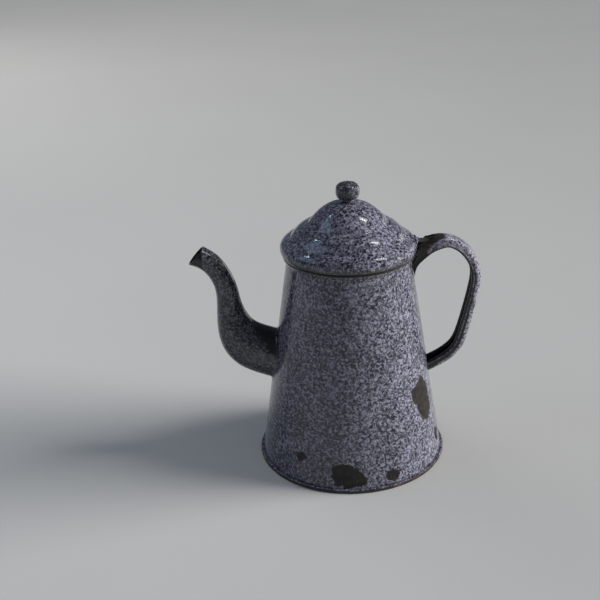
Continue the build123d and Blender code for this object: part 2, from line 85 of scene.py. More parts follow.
# crown line of the handle strap: x, z and depth of its sides
HANDLE_LINE = [
    (58.2, 191.6, 12.5),
    (67.5, 196.0, 12.0),
    (79.0, 197.2, 8.6),
    (89.5, 194.6, 7.8),
    (99.0, 187.6, 7.8),
    (106.3, 177.0, 8.0),
    (109.7, 163.0, 8.0),
    (108.2, 148.0, 8.0),
    (104.6, 129.5, 8.4),
    (100.2, 110.5, 8.8),
    (94.8, 95.8, 9.2),
    (84.5, 84.8, 9.4),
    (66.0, 74.2, 9.4),
    (58.0, 70.0, 9.4),
]
HANDLE_FLARE = [(56.3, 171.5), (62.5, 178.8), (71.5, 185.6)]
HANDLE_HEAD = [(57.6, 186.5), (57.5, 181.6), (54.6, 179.0), (52.2, 176.5), (53.2, 170.0)]
HANDLE_TAIL_Z = 163.0
SPOUT_SHEET = 1.1
# spout sections: centre x, centre z, climb in degrees above -X, half height, half width
SPOUT_LINE = [
    (-50.0, 89.5, 8.0, 21.8, 18.8),
    (-64.0, 92.3, 12.0, 21.6, 18.6),
    (-77.0, 96.4, 18.0, 21.2, 18.2),
    (-88.0, 101.9, 27.0, 20.4, 17.6),
    (-95.2, 109.4, 40.0, 18.6, 16.6),
    (-99.2, 119.0, 55.0, 15.8, 14.6),
    (-101.0, 129.4, 70.0, 12.6, 12.0),
    (-102.2, 141.7, 81.0, 10.1, 10.0),
    (-103.6, 153.7, 80.0, 9.2, 9.1),
    (-106.8, 163.4, 70.0, 8.9, 8.8),
    (-112.4, 172.9, 56.0, 8.9, 8.8),
    (-119.4, 179.4, 46.0, 9.2, 9.1),
    (-126.4, 182.9, 41.7, 9.8, 9.4),
]
STRAINER_HOLE_R = 1.8
STRAINER_PITCH = 5.6
STRAINER_Z = 93.0
STRAINER_HALF_H = 17.0
STRAINER_HALF_W = 13.5

# chipped enamel: outlines as (degrees round from +X, height) on the wall
CHIPS = [
    [(-102.5, 24.5), (-94.9, 24.8), (-85.9, 21.5), (-84.2, 16.7), (-80.7, 13.3), (-81.8, 6.2), (-86.9, 5.0),
     (-99.8, 4.6), (-102.0, 11.6), (-103.2, 18.1)],
    [(-69.3, 14.5), (-64.5, 15.2), (-59.9, 12.1), (-60.7, 7.0), (-65.0, 5.9), (-69.0, 8.1)],
    [(-127.9, 26.8), (-124.8, 29.6), (-121.2, 28.7), (-120.7, 25.3), (-123.6, 21.9), (-126.8, 21.9)],
    [(-28.3, 86.6), (-32.0, 80.0), (-41.9, 77.1), (-42.3, 70.1), (-37.8, 59.3), (-33.1, 46.8), (-24.8, 41.1),
     (-19.1, 53.2), (-19.4, 69.9)],
    [(-16.5, 27.5), (-8.0, 22.5), (-13.0, 14.0), (-19.0, 18.0)],
    [(38.0, 16.0), (46.0, 18.0), (49.0, 11.0), (42.0, 6.5), (36.0, 9.0)],
    [(128.0, 58.0), (132.0, 61.0), (136.0, 56.5), (133.0, 50.0), (129.0, 51.0)],
    [(96.0, 12.0), (104.0, 14.5), (109.0, 9.0), (103.0, 4.8), (97.0, 5.2)],
]
CHIP_REACH = 4.0            # distance round a chip that the attribute "chip" covers
CHIP_DEPTH = 0.28

# camera fitted to the photo; the shift is a share of the picture's width
LENS = 62.928
SENSOR_W = 36.0
LENS_SHIFT = (-1 / 15, 0.0088167)
CAMERA_TURN = (-0.586, 23.917, 1.225)   # yaw, pitch and roll in degrees
CAMERA_PLACE = (0.25, -812.7, 496.1)

# colours of the lamps
WARM = (1.0, 0.985, 0.965)
NEUTRAL = (1.0, 0.99, 0.98)
COOL = (0.55, 0.76, 1.0)

# scales of the enamel's patterns, in repeats per metre
FLECK_SCALE = 490
DRIFT_SCALE = 45
GRAIN_SCALE = 1500
PIT_SCALE = 420
FRAY_SCALE = 300
RUST_SCALE = 120
CHIP_EDGE_SCALE = 185
STAIN_SCALE = 210

# values of the attribute that holds wear and black edging, and also painted shade and a painted highlight:
# the enamel is worn from about 0.5 and black from about 1.2
TRIM_FAINT = 0.36
TRIM_WORN = 0.8
TRIM_BLACK_AND_PAINTED_SHADE = 1.5
TRIM_STRAP_INSIDE = 1.6
TRIM_SPOUT_INSIDE = 1.8


def wall_radius(z):
    """Outer radius of the conical wall at height z."""
    return POT_R_FOOT + (POT_R_NECK - POT_R_FOOT) * z / NECK_Z


# ---------------------------------------------------------------- camera, lights and floor
def camera():
    """Camera at the photo's viewpoint; its small shift is the photo's crop."""
    yaw, pitch, roll = (math.radians(a) for a in CAMERA_TURN)
    forward = Vector((math.sin(yaw) * math.cos(pitch), math.cos(yaw) * math.cos(pitch), -math.sin(pitch)))
    right = Vector((math.cos(yaw), -math.sin(yaw), 0))
    down = -right.cross(forward)
    side = right * math.cos(roll) + down * math.sin(roll)
    lower = down * math.cos(roll) - right * math.sin(roll)
    data = bpy.data.cameras.new("camera")
    data.sensor_width = SENSOR_W
    data.lens = LENS
    data.shift_x, data.shift_y = LENS_SHIFT
    data.clip_end = 30
    obj = bpy.data.objects.new("camera", data)
    SCENE.collection.objects.link(obj)
    axes = Matrix((side, -lower, -forward)).transposed().to_4x4()
    obj.matrix_world = Matrix.Translation(Vector(CAMERA_PLACE) * MM) @ axes
    SCENE.camera = obj


def area_light(name, place, target, size, power, colour, only=None):
    """Rectangular lamp at place, in millimetres, facing target; "diffuse" or "glossy" limits its light."""
    data = bpy.data.lights.new(name, "AREA")
    data.shape = "RECTANGLE"
    data.size = size[0] * MM
    data.size_y = size[1] * MM
    data.energy = power
    data.color = colour
    obj = bpy.data.objects.new(name, data)
    SCENE.collection.objects.link(obj)
    place = Vector(place) * MM
    aim = Vector(target) * MM - place
    obj.matrix_world = Matrix.Translation(place) @ aim.to_track_quat("-Z", "Y").to_matrix().to_4x4()
    obj.visible_camera = False
    obj.visible_glossy = only != "diffuse"
    obj.visible_diffuse = only != "glossy"


def daylight(name, toward, spread, power, colour):
    """Even light from a distant window lying toward a direction, spread over so many degrees."""
    data = bpy.data.lights.new(name, "SUN")
    data.angle = math.radians(spread)
    data.energy = power
    data.color = colour
    obj = bpy.data.objects.new(name, data)
    SCENE.collection.objects.link(obj)
    obj.matrix_world = (-Vector(toward)).to_track_quat("-Z", "Y").to_matrix().to_4x4()
    obj.visible_glossy = False


def studio():
    """Soft daylight from the right, cooler fill from the left, and a plain pale floor."""
    SCENE.view_settings.view_transform = "Standard"
    world = bpy.data.worlds.new("studio")
    SCENE.world = world
    world.use_nodes = True
    background = world.node_tree.nodes["Background"]
    background.inputs["Color"].default_value = (0.17, 0.193, 0.245, 1)
    background.inputs["Strength"].default_value = 0.54
    daylight("window_right", (1000, 25, 275), 38.0, 6.8, WARM)
    area_light("pane_right", (1150, 420, 330), (0, 420, 330), (2000, 640), 6.0, WARM, "glossy")
    area_light("overhead", (250, -250, 1300), (0, 0, 120), (900, 900), 1.0, WARM, "diffuse")
    area_light("floor_fill", (-1500, 1400, 1200), (-600, 400, 0), (1500, 1500), 12.0, NEUTRAL, "diffuse")
    area_light("lamp_right", (640, 20, 1230), (30, -50, 195), (70, 260), 1.5, WARM)
    area_light("lamp_left", (-700, 330, 1180), (-30, -50, 195), (45, 45), 0.3, COOL)
    area_light("sky_left", (-900, -100, 900), (0, 0, 150), (720, 600), 1.6, COOL)

    bpy.ops.mesh.primitive_plane_add(size=24, location=(0, 0, 0))
    floor = bpy.context.object
    floor.name = "floor"
    floor.data.materials.append(floor_material())


# ---------------------------------------------------------------- shader helpers
def srgb(red, green, blue):
    """Linear colour of 8-bit screen values."""
    shares = (red / 255, green / 255, blue / 255)
    return tuple(c / 12.92 if c <= 0.04045 else ((c + 0.055) / 1.055) ** 2.4 for c in shares)


class Shader:
    """A material's node tree with one-line wiring."""

    def __init__(self, name):
        self.material = bpy.data.materials.new(name)
        self.material.use_nodes = True
        self.tree = self.material.node_tree
        self.principled = self.tree.nodes["Principled BSDF"]

    def node(self, kind, settings=None, **sockets):
        """New node; a socket is named by its label, or i and its number."""
        made = self.tree.nodes.new(kind)
        for key, value in (settings or {}).items():
            setattr(made, key, value)
        for key, value in sockets.items():
            self.set(made.inputs[int(key[1:]) if key[0] == "i" and key[1:].isdigit() else key], value)
        return made

    def set(self, socket, value):
        if isinstance(value, bpy.types.NodeSocket):
            self.tree.links.new(value, socket)
        else:
            socket.default_value = value

    def coordinates(self):
        return self.node("ShaderNodeTexCoord").outputs["Object"]

    def noise(self, where, scale, detail=2.0, roughness=0.5, distortion=0.0):
        made = self.node("ShaderNodeTexNoise", None, Vector=where, Scale=scale, Detail=detail,
                         Roughness=roughness, Distortion=distortion)
        return made.outputs["Fac"]

    def cells(self, where, scale, feature="F1"):
        made = self.node("ShaderNodeTexVoronoi", {"feature": feature}, Vector=where, Scale=scale)
        return made.outputs["Distance"]

    def attribute(self, name):
        return self.node("ShaderNodeAttribute", {"attribute_name": name}).outputs["Fac"]

    def math(self, operation, a, b=0.0, clamp=False):
        made = self.node("ShaderNodeMath", {"operation": operation, "use_clamp": clamp}, i0=a, i1=b)
        return made.outputs[0]

    def step(self, value, low, high, out_low=0.0, out_high=1.0):
        """Smooth change from out_low to out_high while value goes from low to high."""
        made = self.node("ShaderNodeMapRange", {"interpolation_type": "SMOOTHSTEP"},
                         i0=value, i1=low, i2=high, i3=out_low, i4=out_high)
        return made.outputs[0]

    def mix(self, factor, a, b):
        made = self.node("ShaderNodeMix", {"data_type": "RGBA"})
        self.set(made.inputs[0], factor)
        for socket, value in ((made.inputs[6], a), (made.inputs[7], b)):
            self.set(socket, value if isinstance(value, bpy.types.NodeSocket) else (*value, 1.0))
        return made.outputs[2]

    def blend(self, factor, a, b):
        """Number that goes from a to b with factor."""
        made = self.node("ShaderNodeMix", {"data_type": "FLOAT"})
        for socket, value in ((made.inputs[0], factor), (made.inputs[2], a), (made.inputs[3], b)):
            self.set(socket, value)
        return made.outputs[0]

    def bump(self, height, distance, strength=1.0):
        made = self.node("ShaderNodeBump", None, Height=height, Distance=distance, Strength=strength)
        self.set(self.principled.inputs["Normal"], made.outputs["Normal"])

    def shade(self, **values):
        """Wires or sets the shader's sockets and gives back the finished material."""
        for key, value in values.items():
            socket = self.principled.inputs[key.replace("_", " ")]
            self.set(socket, (*value, 1.0) if isinstance(value, tuple) else value)
        return self.material


def floor_material():
    """Matt off-white."""
    s = Shader("pale_floor")
    where = s.coordinates()
    tone = s.noise(where, 2.2, 3)
    s.bump(s.noise(where, 160, 4), 0.0002, 0.25)
    return s.shade(Base_Color=s.mix(tone, (0.46, 0.46, 0.45), (0.50, 0.50, 0.49)), Roughness=0.8,
                   Specular_IOR_Level=0.0)


def enamel_material(name, ground, fleck, cover, seed, bare=(27, 24, 22), rust=(78, 60, 46)):
    """Mottled vitreous enamel: flecks on a dark ground, worn edges by "trim" and chips by "chip"."""
    s = Shader(name)
    shift = s.node("ShaderNodeMapping", None, Vector=s.coordinates(), Location=(seed, 2 * seed, -seed))
    where = shift.outputs[0]
    blots = s.noise(where, FLECK_SCALE, 2.0, 0.55, 0.7)
    drift = s.noise(where, DRIFT_SCALE, 3)
    grain = s.noise(where, GRAIN_SCALE, 2)
    level = s.math("ADD", blots, s.math("MULTIPLY", s.math("SUBTRACT", drift, 0.5), 0.18))
    level = s.math("ADD", level, s.math("MULTIPLY", s.math("SUBTRACT", grain, 0.5), 0.18))
    pale = s.step(level, cover - 0.03, cover + 0.13)
    dark = s.step(level, cover - 0.16, cover - 0.02, 1.0, 0.0)
    middle = tuple(g * 0.70 + f * 0.30 for g, f in zip(ground, fleck))
    colour = s.mix(dark, s.mix(pale, middle, fleck), ground)
    pits = s.step(s.cells(where, PIT_SCALE), 0.06, 0.15, 1.0, 0.0)
    pits = s.math("MULTIPLY", pits, s.step(s.noise(where, 90, 1), 0.55, 0.62))
    colour = s.mix(pits, colour, srgb(20, 19, 22))

    fuzz = s.math("SUBTRACT", s.noise(where, FRAY_SCALE, 4, 0.65), 0.5)
    # the attribute brings real wear and black edging, and also painted shade at the lid's creases, the lid's
    # rim and the spout's beak and a painted highlight on the handle's bead
    wear_and_painted_shade = s.math("ADD", s.attribute("trim_and_painted_shade"), s.math("MULTIPLY", fuzz, 0.9))
    worn = s.step(wear_and_painted_shade, 0.38, 0.62)
    black = s.step(wear_and_painted_shade, 1.05, 1.3)
    rusty = s.step(s.noise(where, RUST_SCALE, 4, 0.6), 0.54, 0.68)
    colour = s.mix(worn, colour, s.mix(s.math("MULTIPLY", rusty, 0.7), srgb(*bare), srgb(*rust)))
    colour = s.mix(black, colour, srgb(17, 17, 17))

    ragged = s.math("SUBTRACT", s.noise(where, CHIP_EDGE_SCALE, 4, 0.6), 0.5)
    edge = s.math("ADD", s.attribute("chip"), s.math("MULTIPLY", ragged, 9.0))
    inside = s.step(edge, CHIP_REACH - 0.12, CHIP_REACH + 0.12)
    lip = s.step(edge, CHIP_REACH - 0.75, CHIP_REACH - 0.3)
    lip = s.math("MULTIPLY", lip, s.math("SUBTRACT", 1.0, inside))
    stain = s.step(s.noise(where, STAIN_SCALE, 5, 0.6), 0.42, 0.72)
    scar = s.mix(stain, srgb(23, 21, 19), srgb(50, 43, 36))
    colour = s.mix(s.math("MULTIPLY", lip, 0.55), colour, srgb(24, 23, 27))
    colour = s.mix(inside, colour, scar)

    spoiled = s.math("MULTIPLY", s.math("MULTIPLY", worn, s.math("SUBTRACT", 1.0, black)), 0.6)
    spoiled = s.math("MAXIMUM", inside, spoiled)
    dull = s.step(s.noise(where, 22, 3), 0.35, 0.7, 0.13, 0.30)
    height = s.math("ADD", s.math("MULTIPLY", s.noise(where, 150, 3), 0.5), s.math("MULTIPLY", pale, 0.12))
    height = s.math("SUBTRACT", height, s.math("MULTIPLY", inside, 0.9))
    rough = s.math("MULTIPLY", inside, s.noise(where, 700, 4))
    height = s.math("ADD", height, s.math("MULTIPLY", rough, 0.6))
    s.bump(height, 0.00022, 0.55)
    return s.shade(
        Base_Color=colour,
        Roughness=s.blend(spoiled, dull, 0.62),
        Coat_Weight=s.blend(spoiled, 0.25, 0.0),
        Coat_Roughness=0.05,
        Specular_IOR_Level=0.5,
    )


def steel_material(name, tone, rust_from):
    """Bare steel, dulled and spotted with rust."""
    s = Shader(name)
    where = s.coordinates()
    rust = s.step(s.noise(where, 420, 5, 0.65), rust_from, rust_from + 0.12)
    scratches = s.node("ShaderNodeMapping", None, Vector=where, Scale=(1.0, 0.06, 1.0)).outputs[0]
    s.bump(s.noise(scratches, 1800, 3), 0.00006, 0.5)
    return s.shade(
        Base_Color=s.mix(rust, tone, srgb(82, 58, 42)),
        Metallic=s.blend(rust, 1.0, 0.15),
        Roughness=s.blend(rust, s.step(s.noise(where, 240, 3), 0.3, 0.7, 0.28, 0.46), 0.85),
    )


def aluminium_material():
    """Spun aluminium: turning marks round the axis, a dull film and brown coffee stain."""
    s = Shader("spun_aluminium")
    where = s.coordinates()
    axis = s.node("ShaderNodeSeparateXYZ", None, Vector=where)
    radius = s.math("SQRT", s.math("ADD", s.math("POWER", axis.outputs[0], 2.0),
                                   s.math("POWER", axis.outputs[1], 2.0)))
    marks = s.node("ShaderNodeCombineXYZ", None, X=radius, Y=axis.outputs[2], Z=0.0).outputs[0]
    rings = s.noise(marks, 2600, 3, 0.7)
    film = s.step(s.noise(where, 70, 4, 0.6), 0.42, 0.7)
    stain = s.step(s.noise(where, 34, 5, 0.65), 0.52, 0.72)
    colour = s.mix(film, srgb(206, 206, 204), srgb(176, 174, 170))
    s.bump(rings, 0.00005, 0.7)
    return s.shade(
        Base_Color=s.mix(s.math("MULTIPLY", stain, 0.55), colour, srgb(120, 98, 76)),
        Metallic=s.blend(stain, 1.0, 0.7),
        Roughness=s.blend(film, s.step(rings, 0.3, 0.7, 0.26, 0.38), 0.5),
    )


# ---------------------------------------------------------------- curves
def lengths(line):
    """Distance along a line of points at each of them."""
    return np.r_[0, np.cumsum(np.linalg.norm(np.diff(line, axis=0), axis=1))]


def fade(value, start, end):
    """0 before start and 1 after end, straight between; end may be the smaller."""
    return np.clip((value - start) / (end - start), 0, 1)


def cubic(points, where):
    """Natural cubic through the points at fractions of their chord length; extra columns ride along."""
    p = np.asarray(points, float)
    knots = lengths(p[:, :2])
    count = len(knots)
    gap = np.diff(knots)
    system = np.eye(count)
    bend = np.zeros_like(p)
    for i in range(1, count - 1):
        system[i, i - 1: i + 2] = gap[i - 1], 2 * (gap[i - 1] + gap[i]), gap[i]
        bend[i] = 6 * ((p[i + 1] - p[i]) / gap[i] - (p[i] - p[i - 1]) / gap[i - 1])
    curve = np.linalg.solve(system, bend)
    s = np.asarray(where) * knots[-1]
    k = np.clip(np.searchsorted(knots, s, side="right") - 1, 0, count - 2)
    after = (s - knots[k])[:, None]
    before = (knots[k + 1] - s)[:, None]
    h = gap[k][:, None]
    cubes = (curve[k] * before ** 3 + curve[k + 1] * after ** 3) / (6 * h)
    return cubes + (p[k] / h - curve[k] * h / 6) * before + (p[k + 1] / h - curve[k + 1] * h / 6) * after


def rounded(corners, step, closed=True):
    """Outline through (u, v, radius) corners with rounded turns, its runs cut into pieces of about step."""
    corners = [np.array(c, float) for c in corners]
    path = []
    count = len(corners)
    for i, corner in enumerate(corners):
        here, radius = corner[:2], corner[2]
        ends = not closed and i in (0, count - 1)
        if ends or radius <= 0:
            path.append(here)
            continue
        back = corners[i - 1][:2] - here
        on = corners[(i + 1) % count][:2] - here
        back_length, on_length = np.linalg.norm(back), np.linalg.norm(on)
        half = math.acos(max(-1.0, min(1.0, back @ on / back_length / on_length))) / 2
        reach = min(radius / math.tan(half), 0.49 * back_length, 0.49 * on_length)
        start, end = here + back / back_length * reach, here + on / on_length * reach
        for t in np.linspace(0, 1, 9):
            path.append(start * (1 - t) ** 2 + here * 2 * t * (1 - t) + end * t ** 2)
    fine = []
    for i, point in enumerate(path):
        if i == len(path) - 1 and not closed:
            fine.append(point)
            break
        following = path[(i + 1) % len(path)]
        pieces = max(1, int(math.ceil(np.linalg.norm(following - point) / step)))
        for k in range(pieces):
            fine.append(point + (following - point) * k / pieces)
    return np.array(fine)


def offset(line, distance):
    """An open line moved to its right-hand side by distance."""
    along = np.gradient(np.asarray(line, float), axis=0)
    along /= np.linalg.norm(along, axis=1)[:, None]
    return line + distance * np.c_[along[:, 1], -along[:, 0]]


# ---------------------------------------------------------------- meshes
def mesh_piece(name, points, faces, material, body, nodes, attributes=None):
    """Adds a closed smooth-shaded piece, in millimetres, that rides on a body and stands for CAD nodes."""
    mesh = bpy.data.meshes.new(name)
    mesh.from_pydata((np.asarray(points) * MM).tolist(), [], faces)
    for key, values in (attributes or {}).items():
        mesh.attributes.new(key, "FLOAT", "POINT").data.foreach_set("value", np.asarray(values, np.float32))
    work = bmesh.new()
    work.from_mesh(mesh)
    bmesh.ops.remove_doubles(work, verts=work.verts, dist=1e-7)
    bmesh.ops.recalc_face_normals(work, faces=work.faces)
    work.to_mesh(mesh)
    work.free()
    mesh.shade_smooth()
    mesh.materials.append(material)
    obj = bpy.data.objects.new(name, mesh)
    SCENE.collection.objects.link(obj)
    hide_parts(*nodes)
    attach(obj, body)
    return obj


def turned(profile, segments):
    """Points and faces of a closed (radius, height) outline spun round Z."""
    angle = np.linspace(0, 2 * math.pi, segments, endpoint=False)
    r, z = profile[:, :1], profile[:, 1:2]
    points = np.stack([r * np.cos(angle), r * np.sin(angle), z + 0 * angle], axis=-1)
    faces = []
    for i in range(len(profile)):
        a, b = i * segments, (i + 1) % len(profile) * segments
        for j in range(segments):
            k = (j + 1) % segments
            faces.append((a + j, a + k, b + k, b + j))
    return points, faces


def thick_sheet(outer, inner, keep=None):
    """Points, faces and grid places of a sheet between two grids; cells where keep is False stay open."""
    rows, columns = outer.shape[:2]
    keep = np.ones((rows - 1, columns - 1), bool) if keep is None else keep
    kept = np.pad(keep, 1)
    half = rows * columns
    faces = []
    for i in range(rows - 1):
        for j in range(columns - 1):
            if not keep[i, j]:
                continue
            a = i * columns + j
            b, c, d = a + 1, a + columns + 1, a + columns
            faces.append((a, b, c, d))
            faces.append((half + d, half + c, half + b, half + a))
            for closed, p, q in (
                (kept[i, j + 1], b, a),
                (kept[i + 2, j + 1], d, c),
                (kept[i + 1, j], a, d),
                (kept[i + 1, j + 2], c, b),
            ):
                if not closed:
                    faces.append((p, q, half + q, half + p))
    points = np.concatenate([outer.reshape(-1, 3), inner.reshape(-1, 3)])
    used = sorted({v for f in faces for v in f})
    place = {v: n for n, v in enumerate(used)}
    return points[used], [tuple(place[v] for v in f) for f in faces], used


def outline_distance(points, outline):
    """Signed distance of 2-D points to a closed outline, negative inside."""
    outline = np.array(outline, float)
    following = np.roll(outline, -1, axis=0)
    nearest = np.full(len(points), 1e9)
    inside = np.zeros(len(points), bool)
    for a, b in zip(outline, following):
        edge = b - a
        t = np.clip(((points - a) @ edge) / (edge @ edge), 0, 1)
        nearest = np.minimum(nearest, np.linalg.norm(points - a - t[:, None] * edge, axis=1))
        crosses = (a[1] > points[:, 1]) != (b[1] > points[:, 1])
        with np.errstate(divide="ignore", invalid="ignore"):
            at = a[0] + (points[:, 1] - a[1]) * edge[0] / edge[1]
        inside ^= crosses & (points[:, 0] < at)
    return np.where(inside, -nearest, nearest)


def cut_corners(outline, share):
    """Closed outline with each corner cut off at this share of its sides."""
    outline = np.array(outline, float)
    following = np.roll(outline, -1, axis=0)
    ends = [outline * (1 - share) + following * share, outline * share + following * (1 - share)]
    return np.stack(ends, axis=1).reshape(-1, 2)


def waves(points, size, height):
    """Gentle hand-made unevenness: one smooth noise value per point."""
    return np.array([noise.noise(Vector(p) / size) for p in points]) * height


# ---------------------------------------------------------------- pot
def pot_shell(material):
    """Wall with its rolled mouth bead and chips sunk into the enamel."""
    foot = FOOT_RIM_H - 0.4
    bead_low = NECK_Z + 0.3
    corners = [
        (wall_radius(foot), foot, 0),
        (POT_R_NECK, NECK_Z - 0.6, 1.6),
        (BEAD_R - 0.5, bead_low + 1.0, 1.4),
        (BEAD_R, bead_low + 2.2, 0.8),
        (BEAD_R, MOUTH_Z - 0.2, 1.1),
        (BEAD_R - BEAD_THICK, MOUTH_Z, 0.9),
        (BEAD_R - BEAD_THICK - 1.2, NECK_Z + 2.0, 1.5),
        (POT_R_NECK - SHEET, NECK_Z - 1.0, 3.0),
        (wall_radius(foot) - SHEET, foot, 0),
    ]
    profile = rounded(corners, 1.15)
    hidden = (profile[:, 0] < wall_radius(profile[:, 1]) - SHEET / 2) & (profile[:, 1] < NECK_Z - 4)
    profile = profile[~hidden | (np.arange(len(profile)) % 6 == 0)]
    grid, faces = turned(profile, 448)
    flat = grid.reshape(-1, 3)
    radius = np.hypot(flat[:, 0], flat[:, 1])
    angle = np.degrees(np.arctan2(flat[:, 1], flat[:, 0]))
    height = flat[:, 2]
    outside = radius > wall_radius(height) - 0.4
    chip = np.zeros(len(flat))
    for outline in CHIPS:
        middle = np.mean([a for a, z in outline])
        turn = (angle - middle + 180) % 360 - 180
        near = outside & (np.abs(turn) < 30)
        scale = math.radians(1) * wall_radius(np.mean([z for a, z in outline]))
        where = np.c_[turn[near] * scale, height[near]]
        flat_outline = cut_corners([((a - middle) * scale, z) for a, z in outline], 0.16)
        away = outline_distance(where, flat_outline)
        chip[near] = np.maximum(chip[near], np.clip(CHIP_REACH - away, 0, 2 * CHIP_REACH))
    sunk = fade(chip, CHIP_REACH - 0.4, CHIP_REACH + 0.4)
    smooth = waves(flat * (1, 1, 0.7), 34.0, 0.16) * fade(height, NECK_Z, NECK_Z - 20)
    change = np.where(outside, smooth - CHIP_DEPTH * sunk * sunk * (3 - 2 * sunk), 0)
    flat[:, 0] += flat[:, 0] / radius * change
    flat[:, 1] += flat[:, 1] / radius * change
    under_bead = fade(height, NECK_Z - 7, NECK_Z - 3.5) * TRIM_FAINT
    near_foot = fade(height, 6.0, 3.5) * 0.37
    trim_and_painted_shade = np.where(outside, np.maximum(under_bead, near_foot), 0)
    trim_and_painted_shade = np.maximum(trim_and_painted_shade, np.where(height > MOUTH_Z - 1.2, TRIM_WORN, 0))
    return mesh_piece("pot_wall", flat, faces, material, "pot", ["pot_shell"],
                      {"chip": chip, "trim_and_painted_shade": trim_and_painted_shade})


def punch_strainer(wall):
    """Cuts the staggered holes behind the spout."""
    work = bmesh.new()
    row_step = STRAINER_PITCH * math.sin(math.radians(60))
    rows = int(STRAINER_HALF_H / row_step)
    columns = int(STRAINER_HALF_W / STRAINER_PITCH) + 1
    for row in range(-rows, rows + 1):
        for column in range(-columns, columns + 1):
            y = (column + 0.5 * (row % 2)) * STRAINER_PITCH
            z = row * row_step
            if math.hypot(y / STRAINER_HALF_W, z / STRAINER_HALF_H) <= 1:
                place = Matrix.Translation(Vector((-wall_radius(STRAINER_Z), y, STRAINER_Z + z)) * MM)
                turn = Matrix.Rotation(math.pi / 2, 4, "Y")
                bmesh.ops.create_cone(work, cap_ends=True, segments=28, radius1=STRAINER_HOLE_R * MM,
                                      radius2=STRAINER_HOLE_R * MM, depth=20 * MM, matrix=place @ turn)
    mesh = bpy.data.meshes.new("punches")
    work.to_mesh(mesh)
    work.free()
    cutter = bpy.data.objects.new("punches", mesh)
    SCENE.collection.objects.link(cutter)
    cut = wall.modifiers.new("strainer", "BOOLEAN")
    cut.operation = "DIFFERENCE"
    cut.solver = "EXACT"
    cut.object = cutter
    bpy.context.view_layer.update()
    cut_mesh = bpy.data.meshes.new_from_object(wall.evaluated_get(bpy.context.evaluated_depsgraph_get()))
    wall.modifiers.clear()
    wall.data = cut_mesh
    bpy.data.objects.remove(cutter)


def pot_bottom(material):
    """Pressed bottom with its edge folded over the wall's foot; it stands on the fold."""
    corners = [
        (0, 0.7, 0),
        (66.0, 0.7, 6),
        (74.5, 0.0, 3),
        (FOOT_RIM_R, 0.0, 1.4),
        (FOOT_RIM_R, FOOT_RIM_H, 1.3),
        (wall_radius(FOOT_RIM_H) + 0.05, FOOT_RIM_H, 0.3),
        (wall_radius(2.2) - SHEET, 2.2, 0),
        (wall_radius(2.2) - SHEET - 0.6, 1.7, 0.5),
        (0, 1.7, 0),
    ]
    grid, faces = turned(rounded(corners, 1.6), 384)
    flat = grid.reshape(-1, 3)
    radius = np.hypot(flat[:, 0], flat[:, 1])
    nicks = waves(flat, 5.0, 0.18) * (radius > FOOT_RIM_R - 1.6) * (flat[:, 2] > 0.2)
    flat[:, :2] *= (1 + np.minimum(nicks, 0) / np.maximum(radius, 1))[:, None]
    trim_and_painted_shade = 0.95 - 0.55 * fade(flat[:, 2], 1.7, 3.1)
    mesh_piece("pot_foot", flat, faces, material, "pot", ["pot_bottom"], {"trim_and_painted_shade": trim_and_painted_shade})


# ---------------------------------------------------------------- spout
def cone_gap(points):
    """Distance outside the pot's wall, negative inside."""
    return np.hypot(points[..., 0], points[..., 1]) - wall_radius(points[..., 2])


def spout_grid(side, shrink, rows, columns):
    """Half of the gooseneck's surface from the mouth down into the wall."""
    line = cubic(SPOUT_LINE, np.linspace(1, 0, rows))
    sweep = np.linspace(-math.pi / 2, math.pi / 2, columns)
    grid = np.zeros((rows, columns, 3))
    for i, (x, z, climb, half_h, half_w) in enumerate(line):
        angle = math.radians(climb)
        up = np.array([math.sin(angle), 0, math.cos(angle)])
        seam = 0.22 * np.exp(-((np.abs(sweep) - math.pi / 2) * half_w / 0.9) ** 2) if shrink == 0 else 0.0
        across = (half_w - shrink + seam) * np.cos(sweep)
        rise = (half_h - shrink + seam) * np.sin(sweep)
        grid[i] = np.array([x, 0, z]) + rise[:, None] * up
        grid[i, :, 1] = side * across
    return grid


def to_wall(grid, rows, fillet, sink):
    """Each lengthwise line of the grid cut where it meets the wall; with a fillet it spreads out onto it."""
    result = np.zeros((rows, grid.shape[1], 3))
    for j in range(grid.shape[1]):
        column = grid[:, j]
        gap = cone_gap(column)
        inside = int(np.argmax(gap < 0))
        t = gap[inside - 1] / (gap[inside - 1] - gap[inside])
        foot = column[inside - 1] * (1 - t) + column[inside] * t
        kept = [*column[:inside]]
        if fillet:
            kept = [p for p, g in zip(kept, gap) if g > fillet]
            start = kept[-1]
            radial = np.array([foot[0], foot[1], 0]) / math.hypot(foot[0], foot[1])
            ring = np.mean(grid[inside], axis=0)
            spread = foot - np.array([ring[0], 0, ring[2]])
            spread -= radial * (spread @ radial)
            end = foot + spread / np.linalg.norm(spread) * fillet
            end[:2] *= (wall_radius(end[2]) - sink) / math.hypot(end[0], end[1])
            for u in np.linspace(0, 1, 9)[1:]:
                kept.append(start * (1 - u) ** 2 + foot * 2 * u * (1 - u) + end * u ** 2)
        else:
            kept.append(foot)
        kept = np.array(kept)
        length = lengths(kept)
        spacing = np.linspace(0, 1, rows) ** 0.92 * length[-1]
        for axis in range(3):
            result[:, j, axis] = np.interp(spacing, length, kept[:, axis])
    return result


